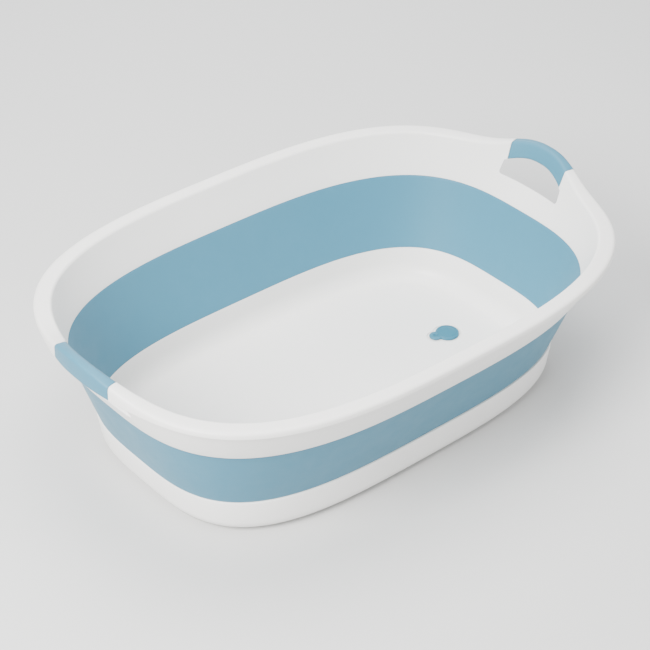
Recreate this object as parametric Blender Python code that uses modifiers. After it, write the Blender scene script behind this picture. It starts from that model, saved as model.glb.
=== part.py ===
"""Folding baby bathtub: a rigid rim and a rigid base tray joined by a soft wall band.

Metres, +Z up.  X runs along the tub, through both handles.  The origin is on the floor
under the middle of the tub, and the tub stands open.
"""

import math

import bmesh
import bpy
from mathutils import Vector

# Driving dimensions -----------------------------------------------------------------

# Plan outlines are superellipses: half length, half width and squareness exponent.
LIP_OUTLINE = (0.3546, 0.2463, 3.02)
SKIRT_OUTLINE = (0.3278, 0.2160, 3.02)
BAND_TOP_OUTLINE = (0.3222, 0.2105, 3.02)
BAND_BOTTOM_OUTLINE = (0.2906, 0.1755, 3.34)
TRAY_TOP_OUTLINE = (0.2944, 0.1808, 3.34)
TRAY_LOW_OUTLINE = (0.2888, 0.1779, 3.41)

# Rim frame, one hollow channel section open downwards.
RIM_TOP_Z = 0.2027
SKIRT_Z = 0.1436
RIM_INNER_Z = 0.1461
RIM_INNER_INSET = 0.0053
RIM_WALL = 0.0021
LIP_ROUND = 0.0060
INNER_ROUND = 0.0030
EDGE_ROUND = 0.0010
LIP_THICKNESS = 0.0026
WALL_STEPS = (0.0, 0.33, 0.66, 1.0)
CHANNEL_RISE = 0.92
CHANNEL_TOP = (0.75, 0.43)
BLOCK_RISE = (0.20, 0.98)

# Carrying handles, where the lip bows up and out at both ends.
HANDLE_BOW = 0.0151
HANDLE_RISE = 0.0243
HANDLE_SPREAD = 0.0670
HANDLE_FADE = 2.4
SHOULDER_SPAN = 0.1700
SHOULDER_SHARE = 0.15

# Section of the lip: each pair is the size where the lip has no bow and at full bow.
LIP_TOP_WIDTH = (0.0190, 0.0118)
LIP_EDGE_DEPTH = (0.0085, 0.0257)
LIP_OVERHANG = (0.0045, 0.0125)
BAR_INNER_DEPTH = (0.0290, 0.0205)

# Grips over the bars, and the finger slots under them.
GRIP_HALF_LENGTH = 0.0507
GRIP_THICKNESS = 0.0020
GRIP_STATIONS = 40
GRIP_CORNER = 0.0040
RECESS_MARGIN = 0.0060
SLOT_HALF_WIDTH = 0.0502
SLOT_FLOOR_HALF = 0.0515
SLOT_STEPS = 24
SLOT_FLOOR_Z = 0.1758
SLOT_CORNER = 0.0030
SLOT_FLARE = 1.25
SLOT_ROOF_FLARE = 0.35
SLOT_ROOF_GAP = 0.0010
SLOT_FLOOR_SLOPE = 1.2
SLOT_REACH = 0.0450
SLOT_ENTRY = 0.0150
SLOT_BLOCK_HALF = 0.0790

# Soft band between tray and rim, cut into three courses that telescope.
BAND_BOTTOM_Z = 0.0519
BAND_TOP_Z = 0.1461
BAND_DROP = 0.0092
COURSE_SPLITS = (0.30, 0.65)

# Base tray.
TRAY_TOP_Z = 0.0514
TRAY_WALL = 0.0028
TRAY_CORNER = 0.0199
TRAY_BOTTOM_Z = 0.0015
TRAY_FLOOR_Z = 0.0066
TRAY_UNDERSIDE_Z = 0.0043
TRAY_INNER_CORNER = 0.0230
FOOT_RING_WIDTH = 0.0080
FOOT_RING_SLOPE = 0.0030

# Drain, its stopper and the foot pads.
DRAIN_AT = (0.1999, -0.0030)
DRAIN_RADIUS = 0.0112
POCKET_RADIUS = 0.0190
POCKET_DEPTH = 0.0010
POCKET_MARGIN = 0.0030
CUT_PAST = 0.0100
DISC_RADIUS = 0.0155
DISC_HEIGHT = 0.0032
DISC_EDGE = 0.0008
STEM_RADIUS = 0.0109
STEM_BOTTOM_Z = 0.0022
TAB_RADIUS = 0.0085
TAB_REACH = 0.0170
TAB_STEP = 0.0005
TAB_ANGLE = math.radians(165.0)
DIMPLE_RADIUS = 0.0036
DIMPLE_DEPTH = 0.0009
FOOT_AT = (0.1950, 0.1020)
FOOT_RADIUS = 0.0120
FOOT_EDGE = 0.0006

GAP = 0.0003
AROUND = 96
END_CROWDING = 0.20

PLASTIC_WHITE = (0.80, 0.80, 0.785)
RUBBER_BLUE = (0.29, 0.49, 0.60)


# Scene and mesh helpers ---------------------------------------------------------------


def clear_scene():
    for obj in list(bpy.data.objects):
        bpy.data.objects.remove(obj, do_unlink=True)


def new_collection(name):
    collection = bpy.data.collections.new(name)
    bpy.context.scene.collection.children.link(collection)
    return collection


def new_material(name, colour, roughness):
    material = bpy.data.materials.new(name)
    material.use_nodes = True
    shader = material.node_tree.nodes["Principled BSDF"]
    shader.inputs["Base Color"].default_value = (*colour, 1.0)
    shader.inputs["Roughness"].default_value = roughness
    shader.inputs["Metallic"].default_value = 0.0
    return material


def object_from_bmesh(name, mesh_data, collection):
    """Close a bmesh into a new object with outward faces and smooth shading."""
    bmesh.ops.recalc_face_normals(mesh_data, faces=mesh_data.faces)
    mesh = bpy.data.meshes.new(name)
    mesh_data.to_mesh(mesh)
    mesh_data.free()
    mesh.shade_smooth()
    mesh.set_sharp_from_angle(angle=math.radians(30.0))
    obj = bpy.data.objects.new(name, mesh)
    collection.objects.link(obj)
    return obj


def loft(name, rows, collection, closed):
    """Skin equal closed loops; join last row to first when closed, else cap both ends."""
    shape = bmesh.new()
    loops = [[shape.verts.new(point) for point in row] for row in rows]
    count = len(loops[0])
    spans = len(loops) if closed else len(loops) - 1
    for i in range(spans):
        here = loops[i]
        there = loops[(i + 1) % len(loops)]
        for k in range(count):
            nxt = (k + 1) % count
            shape.faces.new((here[k], here[nxt], there[nxt], there[k]))
    if not closed:
        shape.faces.new(loops[0])
        shape.faces.new(loops[-1])
    return object_from_bmesh(name, shape, collection)


def cylinder(name, radius, bottom, top, at, collection, segments=40):
    """An upright cylinder from height bottom to height top, centred on the plan point at."""
    shape = bmesh.new()
    bmesh.ops.create_cone(
        shape,
        cap_ends=True,
        segments=segments,
        radius1=radius,
        radius2=radius,
        depth=top - bottom,
    )
    bmesh.ops.translate(shape, verts=shape.verts, vec=(0.0, 0.0, (top + bottom) / 2))
    obj = object_from_bmesh(name, shape, collection)
    obj.location = (at[0], at[1], 0.0)
    return obj


def boolean(target, cutter, operation):
    modifier = target.modifiers.new(f"{operation.lower()} {cutter.name}", "BOOLEAN")
    modifier.object = cutter
    modifier.operation = operation
    modifier.solver = "EXACT"
    cutter.hide_render = True
    cutter.display_type = "WIRE"


def bevel(obj, width, segments):
    modifier = obj.modifiers.new("soft edges", "BEVEL")
    modifier.width = width
    modifier.segments = segments
    modifier.limit_method = "ANGLE"
    modifier.angle_limit = math.radians(40.0)


# Outlines and the rim's bowed sections --------------------------------------------------


def smooth(t):
    t = min(max(t, 0.0), 1.0)
    return t * t * (3.0 - 2.0 * t)


def mix(low, high, t):
    return low + (high - low) * t


def turn(step):
    """Angle of one step around the plan, crowded towards the two ends of the tub."""
    angle = 2.0 * math.pi * step / AROUND
    return angle - END_CROWDING * math.sin(2.0 * angle)


def outline_point(outline, angle, inset=0.0):
    """Point of a superellipse outline shrunk by inset on both half axes."""
    half_x = outline[0] - inset
    half_y = outline[1] - inset
    power = outline[2]
    cos = math.cos(angle)
    sin = math.sin(angle)
    scale = (abs(cos) ** power + abs(sin) ** power) ** (-1.0 / power)
    return half_x * cos * scale, half_y * sin * scale


def outline_between(low, high, t):
    return tuple(mix(a, b, t) for a, b in zip(low, high))


def arch(y):
    """Share of the handle's bow at distance y: a swell with a long, low shoulder."""
    swell = math.exp(-((abs(y) / HANDLE_SPREAD) ** HANDLE_FADE))
    shoulder = 0.5 * (1.0 + math.cos(math.pi * min(abs(y) / SHOULDER_SPAN, 1.0)))
    return mix(swell, shoulder, SHOULDER_SHARE)


def bow_share(angle):
    return arch(outline_point(LIP_OUTLINE, angle)[1])


def lip_size(sizes, angle):
    """A size of the lip's section here, between its plain value and its crown value."""
    return mix(sizes[0], sizes[1], bow_share(angle))


def upper_point(angle, inset, drop):
    """Point of the bowed lip, inset from its outer edge and drop below its top."""
    x, y = outline_point(LIP_OUTLINE, angle, inset)
    share = bow_share(angle)
    bowed_x = x + math.copysign(HANDLE_BOW * share, x)
    return Vector((bowed_x, y, RIM_TOP_Z + HANDLE_RISE * share - drop))


def rim_point(angle, rise, low_inset, low_z, high_inset, high_drop):
    """Point at share rise of the straight line from the skirt level up to the bowed lip."""
    x, y = outline_point(SKIRT_OUTLINE, angle, low_inset)
    return Vector((x, y, low_z)).lerp(upper_point(angle, high_inset, high_drop), rise)


def skirt_point(angle, rise, depth=0.0):
    """Point of the outer skirt, depth inside its outer face."""
    overhang = lip_size(LIP_OVERHANG, angle)
    edge = lip_size(LIP_EDGE_DEPTH, angle)
    return rim_point(angle, rise, depth, SKIRT_Z, overhang + depth, edge - depth)


def inner_wall_point(angle, rise, depth=0.0):
    """Point of the inner wall, depth behind its inner face."""
    width = lip_size(LIP_TOP_WIDTH, angle)
    low_inset = RIM_INNER_INSET - depth
    return rim_point(angle, rise, low_inset, RIM_INNER_Z, width - depth, INNER_ROUND)


def rim_section(angle):
    """Closed section of the rim frame: skirt, lip and inner wall around an open channel."""
    width = lip_size(LIP_TOP_WIDTH, angle)
    edge = lip_size(LIP_EDGE_DEPTH, angle)
    bend = LIP_ROUND * (1.0 - math.sqrt(0.5))
    section = [skirt_point(angle, rise) for rise in WALL_STEPS]
    section += [
        upper_point(angle, EDGE_ROUND, edge),
        upper_point(angle, 0.0, edge - EDGE_ROUND),
        upper_point(angle, 0.0, LIP_ROUND),
        upper_point(angle, bend, bend),
        upper_point(angle, LIP_ROUND, 0.0),
        upper_point(angle, width - INNER_ROUND, 0.0),
        upper_point(angle, width - EDGE_ROUND, EDGE_ROUND),
    ]
    section += [inner_wall_point(angle, rise) for rise in reversed(WALL_STEPS)]
    section += [inner_wall_point(angle, rise, RIM_WALL) for rise in (0.0, CHANNEL_RISE)]
    section += [upper_point(angle, width * share, LIP_THICKNESS) for share in CHANNEL_TOP]
    section += [skirt_point(angle, rise, RIM_WALL) for rise in (CHANNEL_RISE, 0.0)]
    return section


def handle_angle(y, side):
    """Plan angle whose lip point lies at y on one end of the tub."""
    half_y = LIP_OUTLINE[1]
    power = LIP_OUTLINE[2]
    run = (1.0 - (abs(y) / half_y) ** power) ** (1.0 / power)
    angle = math.atan2(y / half_y, run)
    return angle if side > 0 else math.pi - angle


def handle_angles(half_span, count, side):
    return [handle_angle(mix(-half_span, half_span, step / count), side) for step in range(count + 1)]


def bar_under_corner(angle):
    """Inner lower corner of the bar as (inset, drop), on the face of the inner wall."""
    drop = lip_size(BAR_INNER_DEPTH, angle)
    low = inner_wall_point(angle, 0.0)
    high = inner_wall_point(angle, 1.0)
    crown = upper_point(angle, 0.0, drop)
    inner = low.lerp(high, (crown.z - low.z) / (high.z - low.z))
    return Vector((abs(crown.x - inner.x), drop))


def bar_corners(angle, margin):
    """Corners of the bar's section as (inset, drop), moved inwards by margin on each face."""
    corners = [
        Vector((0.0, 0.0)),
        Vector((0.0, lip_size(LIP_EDGE_DEPTH, angle))),
        bar_under_corner(angle),
        Vector((lip_size(LIP_TOP_WIDTH, angle), 0.0)),
    ]
    moved = []
    for i, corner in enumerate(corners):
        before = (corner - corners[i - 1]).normalized()
        after = (corners[(i + 1) % len(corners)] - corner).normalized()
        into_before = Vector((before.y, -before.x))
        into_after = Vector((after.y, -after.x))
        spread = 1.0 + into_before.dot(into_after)
        moved.append(corner + (into_before + into_after) * (margin / spread))
    return moved


def rounded_loop(corners, radius, steps=3):
    """Corners of a convex loop replaced by short bends that start and end radius away."""
    loop = []
    for i, corner in enumerate(corners):
        before = corners[i - 1]
        after = corners[(i + 1) % len(corners)]
        start = corner.lerp(before, radius / (before - corner).length)
        end = corner.lerp(after, radius / (after - corner).length)
        for step in range(steps):
            t = step / (steps - 1)
            loop.append(start.lerp(corner, t).lerp(corner.lerp(end, t), t))
    return loop


# Sub-parts ------------------------------------------------------------------------------


def rim_channel(collection):
    return loft("rim_frame", [rim_section(turn(i)) for i in range(AROUND)], collection, closed=True)


def slot_block(side, collection):
    """Solid filling of the rim's channel around one finger slot."""
    rows = []
    half = RIM_WALL / 2
    for angle in handle_angles(SLOT_BLOCK_HALF, 20, side):
        width = lip_size(LIP_TOP_WIDTH, angle)
        edge = lip_size(LIP_EDGE_DEPTH, angle)
        rows.append(
            [
                skirt_point(angle, BLOCK_RISE[0], half),
                skirt_point(angle, 1.0, half),
                upper_point(angle, half, edge - half),
                upper_point(angle, half, LIP_ROUND),
                upper_point(angle, LIP_ROUND, half),
                upper_point(angle, width - INNER_ROUND, half),
                inner_wall_point(angle, BLOCK_RISE[1], half),
                inner_wall_point(angle, BLOCK_RISE[0], half),
            ]
        )
    return loft(f"slot_block_{side}", rows, collection, closed=False)


def wall_at(y, z, side):
    """Point of the inner wall's face at distance y and height z on one end of the tub."""
    guess = y
    for _ in range(4):
        low = inner_wall_point(handle_angle(guess, side), 0.0)
        high = inner_wall_point(handle_angle(guess, side), 1.0)
        point = low.lerp(high, (z - low.z) / (high.z - low.z))
        guess += y - point.y
    return point


def slot_roof(y, side):
    """Inner and outer edge of the slot's roof, just under the bar."""
    angle = handle_angle(y, side)
    width, drop = bar_under_corner(angle)
    outer_angle = handle_angle(y * (1.0 + SLOT_ROOF_FLARE * width / SLOT_HALF_WIDTH), side)
    inner = upper_point(angle, width, drop + SLOT_ROOF_GAP)
    outer = upper_point(outer_angle, 0.0, lip_size(LIP_EDGE_DEPTH, outer_angle) + SLOT_ROOF_GAP)
    return inner, outer


def slot_outline():
    """Round the slot's mouth as (y, share of the height up to the roof, rise in the corner)."""
    outline = []
    for step in range(SLOT_STEPS + 1):
        outline.append((mix(-1.0, 1.0, step / SLOT_STEPS) * (SLOT_FLOOR_HALF - SLOT_CORNER), 0.0, 0.0))
    for degrees in (30.0, 60.0, 90.0):
        swing = math.radians(degrees)
        y = SLOT_FLOOR_HALF - SLOT_CORNER * (1.0 - math.sin(swing))
        outline.append((y, 0.0, SLOT_CORNER * (1.0 - math.cos(swing))))
    outline.append((mix(SLOT_FLOOR_HALF, SLOT_HALF_WIDTH, 0.5), 0.5, 0.0))
    for step in range(SLOT_STEPS + 1):
        outline.append((mix(1.0, -1.0, step / SLOT_STEPS) * SLOT_HALF_WIDTH, 1.0, 0.0))
    mirrored = [(-y, share, rise) for y, share, rise in outline[SLOT_STEPS + 1 : SLOT_STEPS + 5]]
    return outline + list(reversed(mirrored))


def slot_cutter(side, collection):
    """Finger slot through both walls, flared outwards, with its roof under the bar."""
    entry, mouth, exit_loop = [], [], []
    for y, share, rise in slot_outline():
        roof, roof_edge = slot_roof(y, side)
        point = wall_at(y, mix(SLOT_FLOOR_Z + rise, roof.z, share), side)
        across = y / SLOT_FLOOR_HALF
        floor_way = Vector((side, across * SLOT_FLARE, -SLOT_FLOOR_SLOPE)) * SLOT_REACH
        roof_way = (roof_edge - roof) * (SLOT_REACH / abs(roof_edge.x - roof.x))
        entry.append(point - Vector((side * SLOT_ENTRY, 0.0, 0.0)))
        mouth.append(point)
        exit_loop.append(point + floor_way.lerp(roof_way, share))
    return loft(f"slot_cutter_{side}", [entry, mouth, exit_loop], collection, closed=False)


def sleeve_rows(side, end_gap, outer_margin, inner_margin):
    """Closed strip of sleeve sections: outer skin one way and inner skin back again."""
    rows = []
    angles = handle_angles(GRIP_HALF_LENGTH, GRIP_STATIONS, side)
    if end_gap > 0.0:
        far = GRIP_HALF_LENGTH + end_gap
        angles = [handle_angle(-far, side), *angles, handle_angle(far, side)]
    skins = ((angles, outer_margin, GRIP_CORNER), (reversed(angles), inner_margin, GRIP_CORNER / 2))
    for stations, margin, corner in skins:
        for angle in stations:
            section = rounded_loop(bar_corners(angle, margin), corner)
            rows.append([upper_point(angle, point.x, point.y) for point in section])
    return rows


def grip(name, side, material, collection):
    rows = sleeve_rows(side, 0.0, 0.0, GRIP_THICKNESS)
    sleeve = loft(name, rows, collection, closed=True)
    sleeve.data.materials.append(material)
    return sleeve


def grip_recess(side, collection):
    rows = sleeve_rows(side, GAP, -RECESS_MARGIN, GRIP_THICKNESS + GAP)
    return loft(f"grip_recess_{side}", rows, collection, closed=True)


def rim_frame(material, parts, cutters):
    rim = rim_channel(parts)
    for side in (-1, 1):
        boolean(rim, slot_block(side, cutters), "UNION")
    for side in (-1, 1):
        boolean(rim, slot_cutter(side, cutters), "DIFFERENCE")
        boolean(rim, grip_recess(side, cutters), "DIFFERENCE")
    rim.data.materials.append(material)
    return rim


def band_level(share):
    outline = outline_between(BAND_BOTTOM_OUTLINE, BAND_TOP_OUTLINE, share)
    return outline, mix(BAND_BOTTOM_Z, BAND_TOP_Z, share)


def band_course(name, low, high, material, collection):
    """One course of the band; its joints with its neighbours are vertical in section."""
    low_outline, low_z = band_level(low)
    high_outline, high_z = band_level(high)
    if low > 0.0:
        foot_outline, foot_z, low_gap = low_outline, low_z - BAND_DROP, -GAP
    else:
        foot_share = BAND_DROP / (BAND_TOP_Z - BAND_BOTTOM_Z)
        foot_outline, foot_z, low_gap = band_level(foot_share)[0], low_z, 0.0
    rows = []
    for i in range(AROUND):
        angle = turn(i)
        rows.append(
            [
                (*outline_point(low_outline, angle, low_gap), low_z),
                (*outline_point(high_outline, angle), high_z),
                (*outline_point(high_outline, angle), high_z - BAND_DROP),
                (*outline_point(foot_outline, angle, low_gap), foot_z),
            ]
        )
    course = loft(name, rows, collection, closed=True)
    course.data.materials.append(material)
    return course


def tray_levels():
    """Outlines, insets and heights from the inner floor, over the top edge, to the underside."""
    wall_foot = TRAY_BOTTOM_Z + TRAY_CORNER
    inner_foot = TRAY_FLOOR_Z + TRAY_INNER_CORNER
    swings = [math.radians(degrees) for degrees in (0.0, 22.5, 45.0, 67.5, 90.0)]
    levels = []
    for swing in reversed(swings):
        inset = TRAY_WALL + TRAY_INNER_CORNER * (1.0 - math.cos(swing))
        levels.append((TRAY_LOW_OUTLINE, inset, inner_foot - TRAY_INNER_CORNER * math.sin(swing)))
    levels.append((BAND_BOTTOM_OUTLINE, 0.0, TRAY_TOP_Z))
    levels.append((TRAY_TOP_OUTLINE, EDGE_ROUND, TRAY_TOP_Z))
    levels.append((TRAY_TOP_OUTLINE, 0.0, TRAY_TOP_Z - EDGE_ROUND))
    for swing in swings:
        inset = TRAY_CORNER * (1.0 - math.cos(swing))
        levels.append((TRAY_LOW_OUTLINE, inset, wall_foot - TRAY_CORNER * math.sin(swing)))
    ring_inner = TRAY_CORNER + FOOT_RING_WIDTH
    levels.append((TRAY_LOW_OUTLINE, ring_inner, TRAY_BOTTOM_Z))
    levels.append((TRAY_LOW_OUTLINE, ring_inner + FOOT_RING_SLOPE, TRAY_UNDERSIDE_Z))
    return levels


def base_tray(material, parts, cutters):
    rows = []
    for outline, inset, z in tray_levels():
        rows.append([(*outline_point(outline, turn(i), inset), z) for i in range(AROUND)])
    tray = loft("base_tray", rows, parts, closed=False)
    pocket_z = TRAY_FLOOR_Z - POCKET_DEPTH
    above = TRAY_FLOOR_Z + CUT_PAST
    pocket = cylinder("drain_pocket", POCKET_RADIUS, pocket_z, above, DRAIN_AT, cutters)
    tab_pocket = cylinder("tab_pocket", TAB_RADIUS + POCKET_MARGIN, pocket_z, above, tab_at(), cutters)
    hole = cylinder("drain_hole", DRAIN_RADIUS, -CUT_PAST, above, DRAIN_AT, cutters)
    boolean(pocket, tab_pocket, "UNION")
    boolean(tray, pocket, "DIFFERENCE")
    boolean(tray, hole, "DIFFERENCE")
    tray.data.materials.append(material)
    return tray


def tab_at():
    return (
        DRAIN_AT[0] + TAB_REACH * math.cos(TAB_ANGLE),
        DRAIN_AT[1] + TAB_REACH * math.sin(TAB_ANGLE),
    )


def drain_stopper(material, parts, cutters):
    """Soft stopper: disc over the drain, stem in the drain and a pull tab with a dimple."""
    disc_bottom = TRAY_FLOOR_Z - POCKET_DEPTH + GAP
    disc_top = disc_bottom + DISC_HEIGHT
    stopper = cylinder("drain_stopper", DISC_RADIUS, disc_bottom, disc_top, DRAIN_AT, parts)
    bevel(stopper, DISC_EDGE, 2)
    stem = cylinder("stopper_stem", STEM_RADIUS, STEM_BOTTOM_Z, disc_bottom + DISC_EDGE, DRAIN_AT, cutters)
    tab_top = disc_top - TAB_STEP
    tab = cylinder("stopper_tab", TAB_RADIUS, disc_bottom + TAB_STEP, tab_top, tab_at(), cutters, 32)
    dimple_top = disc_top + CUT_PAST
    dimple = cylinder("tab_dimple", DIMPLE_RADIUS, tab_top - DIMPLE_DEPTH, dimple_top, tab_at(), cutters, 24)
    boolean(stopper, stem, "UNION")
    boolean(stopper, tab, "UNION")
    boolean(stopper, dimple, "DIFFERENCE")
    stopper.data.materials.append(material)
    return stopper


def foot_pad(name, x, y, material, parts):
    pad = cylinder(name, FOOT_RADIUS, 0.0, TRAY_UNDERSIDE_Z - GAP, (x, y), parts, 32)
    bevel(pad, FOOT_EDGE, 1)
    pad.data.materials.append(material)
    return pad


def build():
    clear_scene()
    parts = new_collection("baby_bathtub")
    cutters = new_collection("cutters")

    base_tray(new_material("tray_plastic", PLASTIC_WHITE, 0.34), parts, cutters)
    rim_frame(new_material("rim_plastic", PLASTIC_WHITE, 0.32), parts, cutters)

    splits = (0.0, *COURSE_SPLITS, 1.0)
    for index, name in enumerate(("band_lower", "band_middle", "band_upper")):
        material = new_material(f"{name}_rubber", RUBBER_BLUE, 0.55)
        band_course(name, splits[index], splits[index + 1], material, parts)

    for name, side in (("grip_left", -1), ("grip_right", 1)):
        grip(name, side, new_material(f"{name}_rubber", RUBBER_BLUE, 0.5), parts)

    drain_stopper(new_material("stopper_rubber", RUBBER_BLUE, 0.45), parts, cutters)

    for end, x in (("left", -FOOT_AT[0]), ("right", FOOT_AT[0])):
        for row, y in (("front", -FOOT_AT[1]), ("back", FOOT_AT[1])):
            name = f"foot_pad_{row}_{end}"
            foot_pad(name, x, y, new_material(f"{name}_rubber", RUBBER_BLUE, 0.6), parts)


build()
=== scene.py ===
"""Folding baby bathtub: smooth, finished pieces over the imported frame.

Metres, +Z up.  X runs along the tub, and the tub stands open on the floor.
"""

import math

import bmesh
import bpy
from mathutils import Matrix, Vector


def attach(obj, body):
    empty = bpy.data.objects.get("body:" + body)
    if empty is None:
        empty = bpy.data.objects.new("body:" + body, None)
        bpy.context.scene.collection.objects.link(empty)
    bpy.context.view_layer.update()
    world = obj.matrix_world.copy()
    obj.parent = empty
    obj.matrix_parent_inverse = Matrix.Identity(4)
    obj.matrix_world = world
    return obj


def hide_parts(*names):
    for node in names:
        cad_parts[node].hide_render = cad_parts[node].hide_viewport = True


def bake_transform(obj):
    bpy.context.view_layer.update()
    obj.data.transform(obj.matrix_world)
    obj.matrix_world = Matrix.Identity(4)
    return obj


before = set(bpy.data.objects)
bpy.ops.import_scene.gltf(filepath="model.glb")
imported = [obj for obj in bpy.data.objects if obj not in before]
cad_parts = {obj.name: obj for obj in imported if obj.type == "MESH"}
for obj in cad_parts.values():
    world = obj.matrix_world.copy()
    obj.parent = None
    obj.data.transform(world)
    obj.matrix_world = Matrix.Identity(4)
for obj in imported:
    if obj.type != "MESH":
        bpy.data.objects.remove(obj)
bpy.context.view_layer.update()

# Outlines and shared values -----------------------------------------------------------

# Plan outlines are superellipses: half length, half width and squareness exponent.
LIP = (0.3546, 0.2463, 3.02)
SKIRT = (0.3278, 0.2160, 3.02)
BAND_TOP = (0.3222, 0.2105, 3.02)
BAND_BOTTOM = (0.2906, 0.1755, 3.34)
TRAY_TOP = (0.2944, 0.1808, 3.34)
TRAY_LOW = (0.2888, 0.1779, 3.41)
AROUND = 480
END_CROWDING = 0.20

SMOOTH_ANGLE = math.radians(32.0)
QUARTER_TURN = math.pi / 2
THIN_EDGE = 0.0003
BEND_SHARE = 0.49
FIT_GAP = 0.0003
CUT_PAST = 0.0100

# Rim ----------------------------------------------------------------------------------

# A hollow section, open downwards, between the skirt outside and the wall inside.
RIM_TOP_Z = 0.2027
SKIRT_Z = 0.1436
RIM_INNER_Z = 0.1461
RIM_INNER_INSET = 0.0053
RIM_WALL = 0.0021
SKIRT_BULGE = 0.0010
SKIRT_RISES = (0.15, 0.30, 0.45, 0.60, 0.75, 0.88)
SKIRT_FOOT_ROUND = 0.0008
SKIRT_TOP_ROUND = 0.0016
INNER_RISES = (0.8, 0.6, 0.4, 0.2)
INNER_TOP_DROP = 0.0030
LIP_EDGE_ROUND = 0.0014
LIP_OUTER_ROUND = 0.0064
LIP_INNER_ROUND = 0.0036
LIP_MIDDLE = 0.55
LIP_THICKNESS = 0.0026
CHANNEL_RISE = 0.92
CHANNEL_TOP = (0.75, 0.43)

# The lip bows out and rises into a carrying bar at each end of the tub.
HANDLE_BOW = 0.0151
HANDLE_RISE = 0.0243
HANDLE_SPREAD = 0.0670
HANDLE_FADE = 2.4
SHOULDER_SPAN = 0.1700
SHOULDER_SHARE = 0.15

# Pairs: the size where the lip has no bow and at full bow.
LIP_WIDTH = (0.0190, 0.0118)
LIP_DEPTH = (0.0085, 0.0257)
LIP_OVERHANG = (0.0045, 0.0125)
BAR_DEPTH = (0.0290, 0.0205)

# The rim is solid round each finger slot.
BLOCK_HALF = 0.0790
BLOCK_DEPTH = RIM_WALL / 2
BLOCK_OUTER_RISES = (0.20, 0.50, 0.98)
BLOCK_INNER_RISES = (0.96, 0.20)
BLOCK_EDGE = (0.0024, 0.0012)
BLOCK_DROP = 0.0014
BLOCK_ROUND = 0.0070

SLOT_HALF = 0.0502
SLOT_FLOOR_HALF = 0.0515
SLOT_FLOOR_Z = 0.1758
SLOT_CORNER = 0.0040
SLOT_JAMB_SHARES = (0.2, 0.4, 0.6, 0.8)
SLOT_ROOF_GAP = 0.0010
SLOT_ROOF_FLARE = 0.35
SLOT_FLARE = 1.25
SLOT_FLOOR_SLOPE = 1.2
SLOT_ENTRY = 0.0150
SLOT_REACH = 0.0450

# Grips --------------------------------------------------------------------------------

GRIP_HALF = 0.0507
GRIP_WALL = 0.0020
GRIP_OUTER_ROUND = 0.0042
GRIP_INNER_ROUND = 0.0020
GRIP_STATIONS = 60
GRIP_END_SOFT = 0.0009
GRIP_SOFT_SHARES = (0.0, 0.3, 0.6, 0.85)
GRIP_BODY_CLEAR = 1.2
RECESS_MARGIN = 0.0060
RECESS_ROUND = 0.0040

# Band ---------------------------------------------------------------------------------

BAND_BOTTOM_Z = 0.0519
BAND_TOP_Z = 0.1461
BAND_FOOT_TUCK = 0.0004
BAND_WALL = 0.0029
BAND_BULGE = 0.0006
BAND_THINNING = 0.18
BAND_TOP_BEVEL = 0.0010
BAND_OUTER_ROUND = 0.0005
BAND_STEPS = 28

# Base tray ----------------------------------------------------------------------------

TRAY_TOP_Z = 0.0514
TRAY_BOTTOM_Z = 0.0015
TRAY_FLOOR_Z = 0.0066
TRAY_UNDER_Z = 0.0043
TRAY_WALL = 0.0028
TRAY_CORNER = 0.0199
TRAY_INNER_CORNER = 0.0230
TRAY_EDGE = 0.0012
TRAY_BEND = 12
TRAY_FLOOR_INSETS = (0.150, 0.125, 0.100, 0.075, 0.055, 0.040)
TRAY_UNDER_INSETS = (0.055, 0.100, 0.150)
FOOT_RING_WIDTH = 0.0080

RIB_HALF = 0.0018
RIB_LEAN = 0.0004
RIB_LOW_Z = 0.0024
RIB_HIGH_Z = 0.0050
LONG_RIB_HALF = 0.2250
LONG_RIB_Y = 0.0620
CROSS_RIB_HALF = 0.1280
CROSS_RIB_X = 0.1200

# Drain and stopper --------------------------------------------------------------------

DRAIN = (0.1999, -0.0030)
DRAIN_RADIUS = 0.0112
COLLAR_RADIUS = 0.0165
POCKET_DEPTH = 0.0010
POCKET_RADIUS = 0.0190
POCKET_MARGIN = 0.0030
STOPPER_LOW_Z = TRAY_FLOOR_Z - POCKET_DEPTH + FIT_GAP
STOPPER_TOP_Z = STOPPER_LOW_Z + 0.0032
DISC_RADIUS = 0.0155
STEM_RADIUS = 0.0109
STEM_LOW_Z = 0.0022
STEM_GROOVE = 0.0006
TAB_ANGLE = math.radians(165.0)
TAB_REACH = 0.0170
TAB_RADIUS = 0.0085
TAB_STEP = 0.0005
DIMPLE_DEPTH = 0.0014
DIMPLE_RADIUS = 0.0040

# Feet ---------------------------------------------------------------------------------

FOOT_AT = (0.1950, 0.1020)
FOOT_RADIUS = 0.0120
FOOT_HOLLOW_RADIUS = 0.0050
FOOT_HOLLOW = 0.0008


# Mesh helpers -------------------------------------------------------------------------


def mix(a, b, t):
    return a + (b - a) * t


def new_object(name, verts, faces):
    mesh = bpy.data.meshes.new(name)
    mesh.from_pydata([tuple(v) for v in verts], [], faces)
    shape = bmesh.new()
    shape.from_mesh(mesh)
    bmesh.ops.recalc_face_normals(shape, faces=shape.faces)
    shape.to_mesh(mesh)
    shape.free()
    mesh.shade_smooth()
    mesh.set_sharp_from_angle(angle=SMOOTH_ANGLE)
    obj = bpy.data.objects.new(name, mesh)
    bpy.context.scene.collection.objects.link(obj)
    return obj


def loft(name, rows, closed):
    """Skin over equal closed loops, joined end to end when closed and capped if not."""
    count = len(rows[0])
    verts = [point for row in rows for point in row]
    faces = []
    for i in range(len(rows) if closed else len(rows) - 1):
        j = (i + 1) % len(rows)
        for k in range(count):
            m = (k + 1) % count
            faces.append((i * count + k, i * count + m, j * count + m, j * count + k))
    if not closed:
        last = (len(rows) - 1) * count
        faces.append(tuple(range(count)))
        faces.append(tuple(last + k for k in range(count)))
    return new_object(name, verts, faces)


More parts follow.
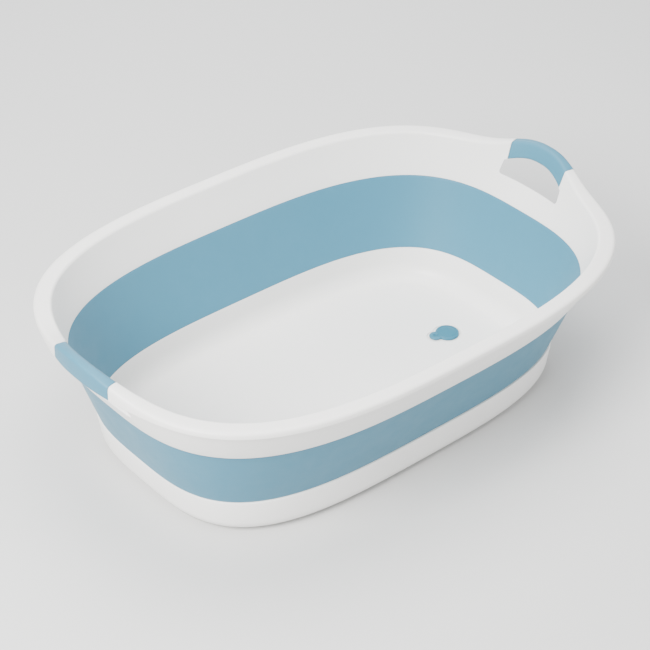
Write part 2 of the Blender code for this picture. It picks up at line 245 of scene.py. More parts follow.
def lathe(name, profile, centre, steps=96):
    """Solid of revolution about the upright through centre; the profile starts and ends on it."""
    x, y = centre
    verts = [Vector((x, y, profile[0][1]))]
    for radius, z in profile[1:-1]:
        for i in range(steps):
            angle = 2.0 * math.pi * i / steps
            verts.append(Vector((x + radius * math.cos(angle), y + radius * math.sin(angle), z)))
    verts.append(Vector((x, y, profile[-1][1])))
    faces = []
    rings = len(profile) - 2
    for i in range(steps):
        n = (i + 1) % steps
        faces.append((0, 1 + i, 1 + n))
        for r in range(rings - 1):
            low = 1 + r * steps
            high = low + steps
            faces.append((low + i, high + i, high + n, low + n))
        low = 1 + (rings - 1) * steps
        faces.append((low + i, len(verts) - 1, low + n))
    return new_object(name, verts, faces)


def disc_tool(name, radius, low, high, at):
    return lathe(name, [(0.0, low), (radius, low), (radius, high), (0.0, high)], at)


def rounded(corners, steps=5):
    """Closed loop of (point, radius) corners, each bend replaced by a short curve."""
    loop = []
    for i, (corner, radius) in enumerate(corners):
        if radius <= 0.0:
            loop.append(corner)
            continue
        back = corners[i - 1][0] - corner
        ahead = corners[(i + 1) % len(corners)][0] - corner
        start = corner + back.normalized() * min(radius, back.length * BEND_SHARE)
        end = corner + ahead.normalized() * min(radius, ahead.length * BEND_SHARE)
        for step in range(steps):
            t = step / (steps - 1)
            loop.append(start.lerp(corner, t).lerp(corner.lerp(end, t), t))
    return loop


def cut(target, tool, operation):
    """Apply one exact boolean to target and throw the tool away."""
    modifier = target.modifiers.new("cut", "BOOLEAN")
    modifier.object = tool
    modifier.operation = operation
    modifier.solver = "EXACT"
    bpy.context.view_layer.update()
    evaluated = target.evaluated_get(bpy.context.evaluated_depsgraph_get())
    mesh = bpy.data.meshes.new_from_object(evaluated)
    target.modifiers.clear()
    target.data = mesh
    mesh.shade_smooth()
    mesh.set_sharp_from_angle(angle=SMOOTH_ANGLE)
    bpy.data.objects.remove(tool, do_unlink=True)


# Outlines and the rim's section --------------------------------------------------------


def turn(i):
    """Angle of station i of AROUND, crowded where the ends bend most."""
    angle = 2.0 * math.pi * i / AROUND
    return angle - END_CROWDING * math.sin(2.0 * angle)


def plan(outline, angle, inset=0.0):
    half_x = outline[0] - inset
    half_y = outline[1] - inset
    cos = math.cos(angle)
    sin = math.sin(angle)
    scale = (abs(cos) ** outline[2] + abs(sin) ** outline[2]) ** (-1.0 / outline[2])
    return half_x * cos * scale, half_y * sin * scale


def plan_between(low, high, t):
    return tuple(mix(a, b, t) for a, b in zip(low, high))


def arch(y):
    """How far the lip is into its handle at y, from 0 well beside it to 1 in its middle."""
    swell = math.exp(-((abs(y) / HANDLE_SPREAD) ** HANDLE_FADE))
    shoulder = 0.5 * (1.0 + math.cos(math.pi * min(abs(y) / SHOULDER_SPAN, 1.0)))
    return mix(swell, shoulder, SHOULDER_SHARE)


def share_at(angle):
    return arch(plan(LIP, angle)[1])


def sized(pair, angle):
    return mix(pair[0], pair[1], share_at(angle))


def upper(angle, inset, drop):
    """Point in from the lip's outer edge by inset, and below its top by drop."""
    x, y = plan(LIP, angle, inset)
    share = share_at(angle)
    return Vector((x + math.copysign(HANDLE_BOW * share, x), y, RIM_TOP_Z + HANDLE_RISE * share - drop))


def rim_line(angle, rise, low_inset, low_z, high_inset, high_drop):
    x, y = plan(SKIRT, angle, low_inset)
    return Vector((x, y, low_z)).lerp(upper(angle, high_inset, high_drop), rise)


def skirt(angle, rise, depth=0.0):
    overhang = sized(LIP_OVERHANG, angle)
    edge = sized(LIP_DEPTH, angle)
    bulge = SKIRT_BULGE * math.sin(math.pi * min(max(rise, 0.0), 1.0))
    return rim_line(angle, rise, depth - bulge, SKIRT_Z, overhang + depth - bulge, edge - depth)


def inner_wall(angle, rise, depth=0.0):
    width = sized(LIP_WIDTH, angle)
    return rim_line(angle, rise, RIM_INNER_INSET - depth, RIM_INNER_Z, width - depth, INNER_TOP_DROP)


def rim_section(angle):
    width = sized(LIP_WIDTH, angle)
    edge = sized(LIP_DEPTH, angle)
    corners = [(skirt(angle, 0.0), SKIRT_FOOT_ROUND)]
    corners += [(skirt(angle, rise), 0.0) for rise in SKIRT_RISES]
    corners += [
        (skirt(angle, 1.0), SKIRT_TOP_ROUND),
        (upper(angle, 0.0, edge), LIP_EDGE_ROUND),
        (upper(angle, 0.0, 0.0), LIP_OUTER_ROUND),
        (upper(angle, width * LIP_MIDDLE, 0.0), 0.0),
        (upper(angle, width, 0.0), LIP_INNER_ROUND),
    ]
    corners += [(inner_wall(angle, rise), 0.0) for rise in INNER_RISES]
    corners += [
        (inner_wall(angle, 0.0), THIN_EDGE),
        (inner_wall(angle, 0.0, RIM_WALL), THIN_EDGE),
        (inner_wall(angle, CHANNEL_RISE, RIM_WALL), 0.0),
        (upper(angle, width * CHANNEL_TOP[0], LIP_THICKNESS), 0.0),
        (upper(angle, width * CHANNEL_TOP[1], LIP_THICKNESS), 0.0),
        (skirt(angle, CHANNEL_RISE, RIM_WALL), 0.0),
        (skirt(angle, 0.0, RIM_WALL), THIN_EDGE),
    ]
    return rounded(corners)


# Handles ------------------------------------------------------------------------------


def handle_angle(y, side):
    """Angle at which the lip passes y, at the end of the tub that side (-1 or 1) names."""
    run = (1.0 - (abs(y) / LIP[1]) ** LIP[2]) ** (1.0 / LIP[2])
    angle = math.atan2(y / LIP[1], run)
    return angle if side > 0 else math.pi - angle


def handle_angles(half, count, side):
    return [handle_angle(mix(-half, half, i / count), side) for i in range(count + 1)]


def bar_under(angle):
    """Lower inner corner of the bar as (inset, drop), flush with the inner wall."""
    drop = sized(BAR_DEPTH, angle)
    low = inner_wall(angle, 0.0)
    high = inner_wall(angle, 1.0)
    crown = upper(angle, 0.0, drop)
    inner = low.lerp(high, (crown.z - low.z) / (high.z - low.z))
    return Vector((abs(crown.x - inner.x), drop))


def bar_corners(angle, margin):
    """The bar's four corners as (inset, drop), moved in from its faces by margin."""
    corners = [
        Vector((0.0, 0.0)),
        Vector((0.0, sized(LIP_DEPTH, angle))),
        bar_under(angle),
        Vector((sized(LIP_WIDTH, angle), 0.0)),
    ]
    moved = []
    for i, corner in enumerate(corners):
        before = (corner - corners[i - 1]).normalized()
        after = (corners[(i + 1) % 4] - corner).normalized()
        into_before = Vector((before.y, -before.x))
        into_after = Vector((after.y, -after.x))
        share = margin / (1.0 + into_before.dot(into_after))
        moved.append(corner + (into_before + into_after) * share)
    return moved


def bar_loop(angle, margin, radius):
    corners = [(Vector((c.x, c.y, 0.0)), radius) for c in bar_corners(angle, margin)]
    return [upper(angle, point.x, point.y) for point in rounded(corners)]


def slot_block(side):
    """Filling for the rim's hollow round one slot."""
    rows = []
    for angle in handle_angles(BLOCK_HALF, GRIP_STATIONS, side):
        width = sized(LIP_WIDTH, angle)
        edge = sized(LIP_DEPTH, angle)
        row = [skirt(angle, rise, BLOCK_DEPTH) for rise in BLOCK_OUTER_RISES]
        row.append(upper(angle, BLOCK_EDGE[0], edge - BLOCK_EDGE[1]))
        row.append(upper(angle, BLOCK_DROP, BLOCK_ROUND))
        row.append(upper(angle, BLOCK_ROUND, BLOCK_DROP))
        row.append(upper(angle, width - LIP_INNER_ROUND, BLOCK_DROP))
        row += [inner_wall(angle, rise, BLOCK_DEPTH) for rise in BLOCK_INNER_RISES]
        rows.append(row)
    return loft(f"slot_block_{side}", rows, closed=False)


def wall_at(y, z, side):
    """Point of the rim's inner wall at y and z, closed in on by a few corrections."""
    guess = y
    for _ in range(4):
        low = inner_wall(handle_angle(guess, side), 0.0)
        high = inner_wall(handle_angle(guess, side), 1.0)
        point = low.lerp(high, (z - low.z) / (high.z - low.z))
        guess += y - point.y
    return point


def slot_roof(y, side):
    """Inner and outer end of the line along the slot's roof, just under the bar."""
    angle = handle_angle(y, side)
    width, drop = bar_under(angle)
    outer_angle = handle_angle(y * (1.0 + SLOT_ROOF_FLARE * width / SLOT_HALF), side)
    inner = upper(angle, width, drop + SLOT_ROOF_GAP)
    return inner, upper(outer_angle, 0.0, sized(LIP_DEPTH, outer_angle) + SLOT_ROOF_GAP)


def slot_outline(steps=56, bend=8):
    """Round the slot's mouth as (y, share of the height up to the roof, rise in the corner)."""
    floor_half = SLOT_FLOOR_HALF - SLOT_CORNER
    outline = [(mix(-1.0, 1.0, i / steps) * floor_half, 0.0, 0.0) for i in range(steps + 1)]
    side = []
    for i in range(1, bend + 1):
        swing = QUARTER_TURN * i / bend
        y = SLOT_FLOOR_HALF - SLOT_CORNER * (1.0 - math.sin(swing))
        side.append((y, 0.0, SLOT_CORNER * (1.0 - math.cos(swing))))
    for share in SLOT_JAMB_SHARES:
        side.append((mix(SLOT_FLOOR_HALF, SLOT_HALF, share), share, SLOT_CORNER * (1.0 - share)))
    outline += side
    outline += [(mix(1.0, -1.0, i / steps) * SLOT_HALF, 1.0, 0.0) for i in range(steps + 1)]
    return outline + [(-y, share, rise) for y, share, rise in reversed(side)]


def slot_tool(side):
    """Slot through both walls, flared outwards, with its roof under the bar."""
    entry, mouth, beyond = [], [], []
    for y, share, rise in slot_outline():
        roof, roof_edge = slot_roof(y, side)
        point = wall_at(y, mix(SLOT_FLOOR_Z + rise, roof.z, share), side)
        floor_way = Vector((side, y / SLOT_FLOOR_HALF * SLOT_FLARE, -SLOT_FLOOR_SLOPE)) * SLOT_REACH
        roof_way = (roof_edge - roof) * (SLOT_REACH / abs(roof_edge.x - roof.x))
        entry.append(point - Vector((side * SLOT_ENTRY, 0.0, 0.0)))
        mouth.append(point)
        beyond.append(point + floor_way.lerp(roof_way, share))
    return loft(f"slot_tool_{side}", [entry, mouth, beyond], closed=False)


def sleeve(name, outer_rows, inner_angles, inner_margin):
    """Closed skin: outer_rows one way along the bar, and the inner skin back."""
    rows = list(outer_rows)
    for angle in reversed(inner_angles):
        rows.append(bar_loop(angle, inner_margin, GRIP_INNER_ROUND))
    return loft(name, rows, closed=True)


def recess_tool(side):
    """Room for a grip in the bar, FIT_GAP larger than the grip all over."""
    far = GRIP_HALF + FIT_GAP
    angles = handle_angles(GRIP_HALF, GRIP_STATIONS, side)
    angles = [handle_angle(-far, side), *angles, handle_angle(far, side)]
    outer = [bar_loop(angle, -RECESS_MARGIN, RECESS_ROUND) for angle in angles]
    return sleeve(f"recess_{side}", outer, angles, GRIP_WALL + FIT_GAP)


def grip_cover(name, side):
    """Soft sleeve with its outer skin rounded down at both ends."""
    left = []
    for share in GRIP_SOFT_SHARES:
        sunk = GRIP_END_SOFT * (1.0 - math.sqrt(1.0 - (1.0 - share) ** 2))
        left.append((-(GRIP_HALF - GRIP_END_SOFT * share), sunk))
    right = [(-y, sunk) for y, sunk in reversed(left)]
    half = GRIP_HALF - GRIP_END_SOFT * GRIP_BODY_CLEAR
    body = [(mix(-1.0, 1.0, i / GRIP_STATIONS) * half, 0.0) for i in range(GRIP_STATIONS + 1)]
    outer = [bar_loop(handle_angle(y, side), sunk, GRIP_OUTER_ROUND) for y, sunk in left + body + right]
    return sleeve(name, outer, handle_angles(GRIP_HALF, GRIP_STATIONS, side), GRIP_WALL)


# Materials ----------------------------------------------------------------------------

WHITE = (0.822, 0.810, 0.790)
WHITE_RUBBED = (0.88, 0.88, 0.87)
BLUE = (0.043, 0.180, 0.268)
BLUE_RUBBED = (0.085, 0.240, 0.330)
STOPPER_BLUE = (0.014, 0.130, 0.200)
STOPPER_RUBBED = (0.060, 0.210, 0.300)
FOOT_RUBBED = (0.080, 0.220, 0.300)

CLOUD_SCALE = 5.0
PATCH_SCALE = 46.0
SCUFF_SCALE = (30.0, 240.0, 420.0)
SCUFF_TURN = (0.2, 0.5, 0.35)
SCUFF_GLOSS = 0.07
GLOSS_SPREAD = 0.045
HANDLED_SPREAD = 0.03
RUB_SHARE = 0.45
# How far the hollows darken: partly dust, partly painted shade in the creases.
DUST_AND_SHADE_SHARE = 0.22
GRAIN_STRENGTH = 0.55
SOFT_EDGE = 0.0008


class Nodes:
    """Short way to add and join shader nodes."""

    def __init__(self, name):
        self.material = bpy.data.materials.new(name)
        self.material.use_nodes = True
        self.tree = self.material.node_tree
        self.shader = self.tree.nodes["Principled BSDF"]

    def add(self, kind, **values):
        node = self.tree.nodes.new(kind)
        for key, value in values.items():
            setattr(node, key, value)
        return node

    def join(self, source, target):
        self.tree.links.new(source, target)

    def noise(self, place, scale, detail, rough=0.55):
        node = self.add("ShaderNodeTexNoise")
        node.inputs["Scale"].default_value = scale
        node.inputs["Detail"].default_value = detail
        node.inputs["Roughness"].default_value = rough
        self.join(place, node.inputs["Vector"])
        return node.outputs["Fac"]

    def ranged(self, value, low, high, to_low, to_high):
        node = self.add("ShaderNodeMapRange")
        for key, number in (("From Min", low), ("From Max", high), ("To Min", to_low), ("To Max", to_high)):
            node.inputs[key].default_value = number
        self.join(value, node.inputs["Value"])
        return node.outputs["Result"]

    def math(self, operation, a, b):
        node = self.add("ShaderNodeMath", operation=operation)
        for index, value in enumerate((a, b)):
            if isinstance(value, float):
                node.inputs[index].default_value = value
            else:
                self.join(value, node.inputs[index])
        return node.outputs["Value"]

    def blend(self, fac, a, b):
        node = self.add("ShaderNodeMix", data_type="RGBA")
        self.join(fac, node.inputs["Factor"])
        for socket, value in ((node.inputs[6], a), (node.inputs[7], b)):
            if isinstance(value, tuple):
                socket.default_value = (*value, 1.0)
            else:
                self.join(value, socket)
        return node.outputs[2]


def tinted(colour, factor, shift=(1.0, 1.0, 1.0)):
    return tuple(min(c * factor * s, 1.0) for c, s in zip(colour, shift))


def scuffs(n, place):
    """Thin, slanted strokes where the surface has been wiped and dragged."""
    stretch = n.add("ShaderNodeMapping")
    stretch.inputs["Scale"].default_value = SCUFF_SCALE
    stretch.inputs["Rotation"].default_value = SCUFF_TURN
    n.join(place, stretch.inputs["Vector"])
    return n.ranged(n.noise(stretch.outputs["Vector"], 1.0, 3.0, 0.7), 0.62, 0.76, 0.0, 1.0)


def worn_colour(n, colour, rubbed_colour, broad, middle):
    """Faintly mottled colour, rubbed on the edges, and darker in the hollows with partly dust and partly
    painted shade.
    """
    point = n.add("ShaderNodeNewGeometry").outputs["Pointiness"]
    edge = n.ranged(point, 0.512, 0.56, 0.0, 1.0)
    rubbed = n.math("MULTIPLY", edge, n.ranged(middle, 0.38, 0.62, 0.2, 1.0))
    # The hollows are darkened with partly dust and partly painted shade, which stands in for occlusion.
    hollow = n.ranged(point, 0.44, 0.492, 1.0, 0.0)
    mottle = n.ranged(broad, 0.32, 0.68, 0.0, 1.0)
    base = n.blend(mottle, tinted(colour, 0.975, (0.995, 1.0, 1.0)), tinted(colour, 1.015))
    speck = n.blend(n.ranged(middle, 0.35, 0.65, 0.0, 0.5), base, tinted(colour, 0.985))
    dust_and_shade = tinted(colour, 0.90, (1.0, 0.995, 0.985))
    dusty_and_shaded = n.blend(n.math("MULTIPLY", hollow, DUST_AND_SHADE_SHARE), speck, dust_and_shade)
    return n.blend(n.math("MULTIPLY", rubbed, RUB_SHARE), dusty_and_shaded, rubbed_colour)


def uneven_gloss(n, rough, broad, middle, scuffed):
    uneven = n.ranged(middle, 0.3, 0.7, rough - GLOSS_SPREAD, rough + GLOSS_SPREAD)
    handled = n.math("ADD", uneven, n.ranged(broad, 0.3, 0.7, -HANDLED_SPREAD, HANDLED_SPREAD))
    return n.math("ADD", handled, n.math("MULTIPLY", scuffed, SCUFF_GLOSS))


def fine_relief(n, place, grain_scale, grain_depth, scuffed):
    """Moulded grain and scuffs over softly rounded edges."""
    grain = n.noise(place, grain_scale, 2.0, 0.6)
    round_edge = n.add("ShaderNodeBevel", samples=4)
    round_edge.inputs["Radius"].default_value = SOFT_EDGE
    fine = n.add("ShaderNodeBump")
    fine.inputs["Strength"].default_value = GRAIN_STRENGTH
    fine.inputs["Distance"].default_value = grain_depth
    n.join(n.math("ADD", grain, n.math("MULTIPLY", scuffed, -0.4)), fine.inputs["Height"])
    n.join(round_edge.outputs["Normal"], fine.inputs["Normal"])
    return fine.outputs["Normal"]


def moulded(name, colour, rubbed_colour, rough, grain_scale, grain_depth, sheen=0.0):
    """Moulded plastic or rubber: grain, uneven gloss, rubbed edges, scuffs and faint mottling."""
    n = Nodes(name)
    place = n.add("ShaderNodeTexCoord").outputs["Object"]
    broad = n.noise(place, CLOUD_SCALE, 2.0)
    middle = n.noise(place, PATCH_SCALE, 4.0)
    scuffed = scuffs(n, place)
    n.join(worn_colour(n, colour, rubbed_colour, broad, middle), n.shader.inputs["Base Color"])
    n.join(uneven_gloss(n, rough, broad, middle, scuffed), n.shader.inputs["Roughness"])
    n.join(fine_relief(n, place, grain_scale, grain_depth, scuffed), n.shader.inputs["Normal"])
    n.shader.inputs["IOR"].default_value = 1.49
    n.shader.inputs["Specular IOR Level"].default_value = 0.42
    n.shader.inputs["Sheen Weight"].default_value = sheen
    n.shader.inputs["Sheen Roughness"].default_value = 0.4
    return n.material


rim_finish = moulded("rim_finish", WHITE, WHITE_RUBBED, 0.36, 2300.0, 0.00005)
tray_finish = moulded("tray_finish", WHITE, WHITE_RUBBED, 0.38, 2100.0, 0.00005)
band_finish = moulded("band_finish", BLUE, BLUE_RUBBED, 0.56, 2600.0, 0.00006, 0.10)
grip_finish = moulded("grip_finish", BLUE, BLUE_RUBBED, 0.52, 1900.0, 0.00009, 0.12)
stopper_finish = moulded("stopper_finish", STOPPER_BLUE, STOPPER_RUBBED, 0.50, 2400.0, 0.00004, 0.03)
foot_finish = moulded("foot_finish", BLUE, FOOT_RUBBED, 0.62, 1800.0, 0.00008, 0.08)


# Pieces -------------------------------------------------------------------------------


def make_rim():
    """Rim with its bars cut back for the grips before the slots are cut."""
    rim = loft("rim_shell", [rim_section(turn(i)) for i in range(AROUND)], closed=True)
    for side in (-1, 1):
        cut(rim, slot_block(side), "UNION")
    for side in (-1, 1):
        cut(rim, recess_tool(side), "DIFFERENCE")
    for side in (-1, 1):
        cut(rim, slot_tool(side), "DIFFERENCE")
    return rim


def band_section(angle):
    """Once round the wall's thickness at one angle; the wall is thinnest halfway up."""
    inside = []
    outside = []
    for k in range(BAND_STEPS + 1):
        t = k / BAND_STEPS
        swell = math.sin(math.pi * t)
        outline = plan_between(BAND_BOTTOM, BAND_TOP, t)
        z = mix(BAND_BOTTOM_Z - BAND_FOOT_TUCK, BAND_TOP_Z, t)
        bulge = BAND_BULGE * swell
        wall = BAND_WALL * (1.0 - BAND_THINNING * swell)
        inside.append(Vector((*plan(outline, angle, -bulge), z)))
        outside.append(Vector((*plan(outline, angle, -bulge - wall), z - BAND_TOP_BEVEL * t)))
    up = [(point, 0.0) for point in inside[1:-1]]
    down = [(point, 0.0) for point in reversed(outside[1:-1])]
    inner = [(inside[0], THIN_EDGE), *up, (inside[-1], THIN_EDGE)]
    outer = [(outside[-1], BAND_OUTER_ROUND), *down, (outside[0], BAND_OUTER_ROUND)]
    return rounded(inner + outer, 3)


def make_band():
    """One soft wall, a little full between its two edges."""
    return loft("fold_band", [band_section(turn(i)) for i in range(AROUND)], closed=True)


def tray_inside():
    """(outline, inset, z) from the middle of the floor up to the top edge."""
    foot = TRAY_FLOOR_Z + TRAY_INNER_CORNER
    levels = [(TRAY_LOW, inset, TRAY_FLOOR_Z) for inset in TRAY_FLOOR_INSETS]
    for i in range(TRAY_BEND + 1):
        swing = QUARTER_TURN * (1.0 - i / TRAY_BEND)
        inset = TRAY_WALL + TRAY_INNER_CORNER * (1.0 - math.cos(swing))
        levels.append((TRAY_LOW, inset, foot - TRAY_INNER_CORNER * math.sin(swing)))
    halfway = plan_between(TRAY_LOW, BAND_BOTTOM, 0.5)
    levels.append((halfway, TRAY_WALL * 0.5, mix(foot, TRAY_TOP_Z, 0.5)))
    levels.append((BAND_BOTTOM, 0.0002, TRAY_TOP_Z - 0.0010))
    levels.append((BAND_BOTTOM, -0.0003, TRAY_TOP_Z - 0.0002))
    levels.append((BAND_BOTTOM, -0.0009, TRAY_TOP_Z))
    return levels


def tray_outside():
    """(outline, inset, z) from the top edge over the foot ring to the middle of the underside."""
    foot = TRAY_BOTTOM_Z + TRAY_CORNER
    levels = []
    for i in range(5):
        swing = QUARTER_TURN * i / 4
        drop = TRAY_EDGE * (1.0 - math.cos(swing))
        levels.append((TRAY_TOP, TRAY_EDGE * (1.0 - math.sin(swing)), TRAY_TOP_Z - drop))
    for i in range(TRAY_BEND + 1):
        swing = QUARTER_TURN * i / TRAY_BEND
        inset = TRAY_CORNER * (1.0 - math.cos(swing))
        levels.append((TRAY_LOW, inset, foot - TRAY_CORNER * math.sin(swing)))
    ring = TRAY_CORNER + FOOT_RING_WIDTH
    levels.append((TRAY_LOW, ring - 0.0015, TRAY_BOTTOM_Z))
    levels.append((TRAY_LOW, ring, TRAY_BOTTOM_Z + 0.0005))
    levels.append((TRAY_LOW, ring + 0.0025, TRAY_UNDER_Z - 0.0005))
    levels.append((TRAY_LOW, ring + 0.0040, TRAY_UNDER_Z))
    return levels + [(TRAY_LOW, inset, TRAY_UNDER_Z) for inset in TRAY_UNDER_INSETS]


def tab_at():
    return DRAIN[0] + TAB_REACH * math.cos(TAB_ANGLE), DRAIN[1] + TAB_REACH * math.sin(TAB_ANGLE)


def rib(x, y, half_x, half_y):
    """Rib under the tray, with sides that lean in towards its lower face."""
    rows = []
    for lean, z in ((RIB_LEAN, RIB_LOW_Z), (0.0, RIB_HIGH_Z)):
        run = half_x - lean
        side = half_y - lean
        rows.append([Vector((x + i * run, y + j * side, z)) for i, j in ((-1, -1), (1, -1), (1, 1), (-1, 1))])
    return loft("rib", rows, closed=False)


def make_tray():
    rows = []
    for outline, inset, z in tray_inside() + tray_outside():
        rows.append([Vector((*plan(outline, turn(i), inset), z)) for i in range(AROUND)])
    tray = loft("tray_shell", rows, closed=False)
    pocket_z = TRAY_FLOOR_Z - POCKET_DEPTH
    above = TRAY_FLOOR_Z + CUT_PAST
    pocket = disc_tool("pocket", POCKET_RADIUS, pocket_z, above, DRAIN)
    cut(pocket, disc_tool("tab_pocket", TAB_RADIUS + POCKET_MARGIN, pocket_z, above, tab_at()), "UNION")
    cut(tray, pocket, "DIFFERENCE")
    for side in (-1, 1):
        cut(tray, rib(0.0, side * LONG_RIB_Y, LONG_RIB_HALF, RIB_HALF), "UNION")
    for place in (-1, 0, 1):
        cut(tray, rib(place * CROSS_RIB_X, 0.0, RIB_HALF, CROSS_RIB_HALF), "UNION")
    cut(tray, disc_tool("collar", COLLAR_RADIUS, RIB_LOW_Z, RIB_HIGH_Z, DRAIN), "UNION")
    cut(tray, disc_tool("hole", DRAIN_RADIUS, -CUT_PAST, above, DRAIN), "DIFFERENCE")
    return tray


def stopper_profile():
    """(radius, z) from under the grooved stem over the disc's edge to its ringed top."""
    low = STOPPER_LOW_Z
    top = STOPPER_TOP_Z
    stem = STEM_RADIUS
    groove = STEM_RADIUS - STEM_GROOVE
    foot = STEM_LOW_Z
    edge = DISC_RADIUS
    profile = [(0.0, foot), (stem - 0.0015, foot), (stem - 0.0003, foot + 0.0004), (stem, foot + 0.0010)]
    profile += [(stem, foot + 0.0018), (groove, foot + 0.0022), (groove, foot + 0.0027)]
    profile += [(stem, foot + 0.0031), (stem, low)]
    profile += [(edge - 0.0006, low), (edge - 0.0001, low + 0.0003), (edge, low + 0.0008)]
    profile += [(edge, top - 0.0010), (edge - 0.0002, top - 0.0005), (edge - 0.0006, top - 0.0001)]
    profile += [(edge - 0.0012, top), (edge - 0.0027, top), (edge - 0.0031, top - 0.0003)]
    profile += [(edge - 0.0037, top - 0.0003), (edge - 0.0041, top - 0.0001)]
    return profile + [(edge - 0.0075, top), (0.0, top)]


def tab_profile():
    low = STOPPER_LOW_Z + TAB_STEP
    top = STOPPER_TOP_Z - TAB_STEP
    edge = TAB_RADIUS
    profile = [(0.0, low), (edge - 0.0005, low), (edge - 0.0001, low + 0.0004), (edge, low + 0.0009)]
    return profile + [(edge, top - 0.0007), (edge - 0.0003, top - 0.0003), (edge - 0.0009, top), (0.0, top)]


def dimple_profile():
    top = STOPPER_TOP_Z
    floor = top - DIMPLE_DEPTH
    edge = DIMPLE_RADIUS
    profile = [(0.0, floor), (edge - 0.0016, floor), (edge - 0.0009, floor + 0.0002)]
    profile += [(edge - 0.0005, top - 0.0007), (edge - 0.0003, top - 0.0003), (edge, top + 0.0002)]
    return profile + [(edge, top + CUT_PAST), (0.0, top + CUT_PAST)]


def make_stopper():
    """Flat disc with a shallow ring and a grooved stem, and a dimpled pull tab beside it."""
    stopper = lathe("stopper_plug", stopper_profile(), DRAIN, 128)
    cut(stopper, lathe("tab", tab_profile(), tab_at()), "UNION")
    cut(stopper, lathe("dimple", dimple_profile(), tab_at(), 72), "DIFFERENCE")
    return stopper


def make_foot(name, x, y):
    """Round pad, slightly hollow underneath."""
    top = TRAY_UNDER_Z - FIT_GAP
    hollow = FOOT_HOLLOW_RADIUS
    edge = FOOT_RADIUS
    profile = [(0.0, FOOT_HOLLOW), (hollow, FOOT_HOLLOW), (hollow + 0.0005, 0.0003)]
    profile += [(hollow + 0.0012, 0.0), (edge - 0.0012, 0.0), (edge - 0.0004, 0.0003), (edge, 0.0010)]
    profile += [(edge, top - 0.0005), (edge - 0.0003, top), (0.0, top)]
    return lathe(name, profile, (x, y), 72)


def finish_piece(obj, material, body, slot, *nodes):
    """Give a piece its material, and its place in the frame; with no body it stays unattached."""
    obj.data.materials.clear()
    obj.data.materials.append(material)
    if body:
        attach(obj, body)
    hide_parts(*nodes)
    return obj


finish_piece(make_rim(), rim_finish, "rim", "rim_plastic", "rim_frame")
finish_piece(make_tray(), tray_finish, "base", "tray_plastic", "base_tray")
band = finish_piece(make_band(), band_finish, None, "band_rubber", "band_lower", "band_middle", "band_upper")
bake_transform(band)
for label, side in (("left", -1), ("right", 1)):
    cover = grip_cover(f"grip_cover_{label}", side)
    finish_piece(cover, grip_finish, "rim", "grip_rubber", f"grip_{label}")
finish_piece(make_stopper(), stopper_finish, "stopper", "stopper_rubber", "drain_stopper")
for end, x in (("left", -FOOT_AT[0]), ("right", FOOT_AT[0])):
    for row, y in (("front", -FOOT_AT[1]), ("back", FOOT_AT[1])):
        foot = make_foot(f"foot_{row}_{end}", x, y)
        finish_piece(foot, foot_finish, "base", "foot_rubber", f"foot_pad_{row}_{end}")


# Studio -------------------------------------------------------------------------------

FLOOR_HALF = 60.0
FLOOR_COLOUR = (0.60, 0.60, 0.595, 1.0)
FLOOR_ROUGHNESS = 0.85
WORLD_COLOUR = (0.96, 0.98, 1.0, 1.0)
WORLD_STRENGTH = 0.85
LIGHTS_AIM = Vector((0.0, 0.0, 0.1))

CAMERA_AIM = Vector((0.0, 0.0, 0.1154))
CAMERA_DISTANCE = 2.334
CAMERA_AZIMUTH = math.radians(-41.4676)
CAMERA_ELEVATION = math.radians(35.3783)
CAMERA_ROLL = math.radians(1.3153)
CAMERA_LENS = 105.88
CAMERA_SENSOR = 36.0
CAMERA_SHIFT = (-0.00994, -0.00712)


def make_floor():
    corners = [Vector((FLOOR_HALF * x, FLOOR_HALF * y, 0.0)) for x, y in ((-1, -1), (1, -1), (1, 1), (-1, 1))]
    floor = new_object("floor", corners, [(0, 1, 2, 3)])
    material = bpy.data.materials.new("floor_paper")
    material.use_nodes = True
    shader = material.node_tree.nodes["Principled BSDF"]
    shader.inputs["Base Color"].default_value = FLOOR_COLOUR
    shader.inputs["Roughness"].default_value = FLOOR_ROUGHNESS
    floor.data.materials.append(material)


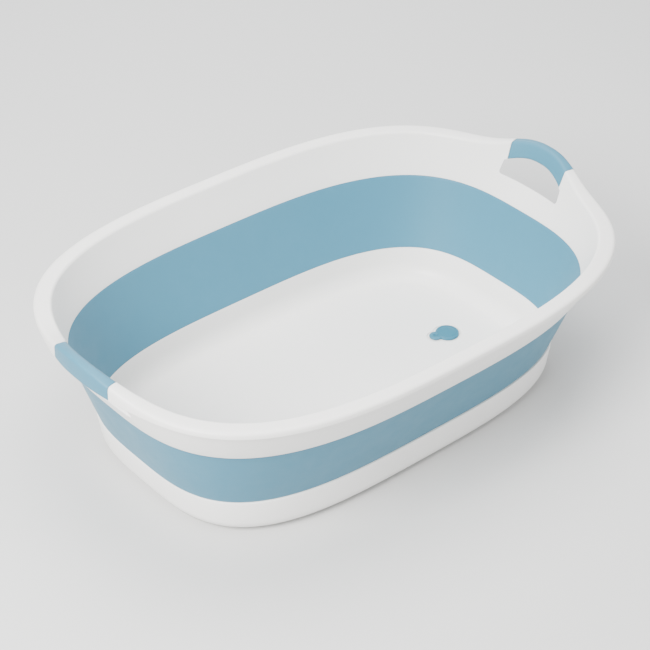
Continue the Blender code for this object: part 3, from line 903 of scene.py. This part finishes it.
def soft_light(name, at, size, energy, colour):
    data = bpy.data.lights.new(name, "AREA")
    data.shape = "DISK"
    data.size = size
    data.energy = energy
    data.color = colour
    light = bpy.data.objects.new(name, data)
    bpy.context.scene.collection.objects.link(light)
    light.location = at
    light.rotation_euler = (LIGHTS_AIM - Vector(at)).to_track_quat("-Z", "Y").to_euler()


def make_world():
    world = bpy.data.worlds.new("studio")
    bpy.context.scene.world = world
    world.use_nodes = True
    background = world.node_tree.nodes["Background"]
    background.inputs["Color"].default_value = WORLD_COLOUR
    background.inputs["Strength"].default_value = WORLD_STRENGTH


def make_camera():
    """Long lens from above the front left corner of the tub, rolled slightly."""
    across = math.cos(CAMERA_ELEVATION)
    back = Vector(
        (
            math.sin(CAMERA_AZIMUTH) * across,
            -math.cos(CAMERA_AZIMUTH) * across,
            math.sin(CAMERA_ELEVATION),
        )
    )
    ahead = -back
    right = ahead.cross(Vector((0.0, 0.0, 1.0))).normalized()
    up = right.cross(ahead)
    rolled_right = right * math.cos(CAMERA_ROLL) + up * math.sin(CAMERA_ROLL)
    rolled_up = up * math.cos(CAMERA_ROLL) - right * math.sin(CAMERA_ROLL)
    data = bpy.data.cameras.new("camera")
    data.lens = CAMERA_LENS
    data.sensor_width = CAMERA_SENSOR
    data.shift_x, data.shift_y = CAMERA_SHIFT
    data.dof.use_dof = False
    camera = bpy.data.objects.new("camera", data)
    bpy.context.scene.collection.objects.link(camera)
    camera.location = CAMERA_AIM + back * CAMERA_DISTANCE
    camera.rotation_euler = Matrix((rolled_right, rolled_up, back)).transposed().to_euler()
    bpy.context.scene.camera = camera


make_floor()
make_world()
soft_light("key", (-1.9, -0.5, 1.7), 1.3, 175.0, (1.0, 0.992, 0.975))
soft_light("top", (0.3, 0.4, 2.2), 1.8, 62.0, (1.0, 1.0, 1.0))
soft_light("rear", (1.2, 1.8, 1.2), 1.2, 20.0, (0.95, 0.98, 1.0))
soft_light("fill", (1.7, -1.9, 0.8), 1.4, 26.0, (1.0, 0.985, 0.97))
make_camera()
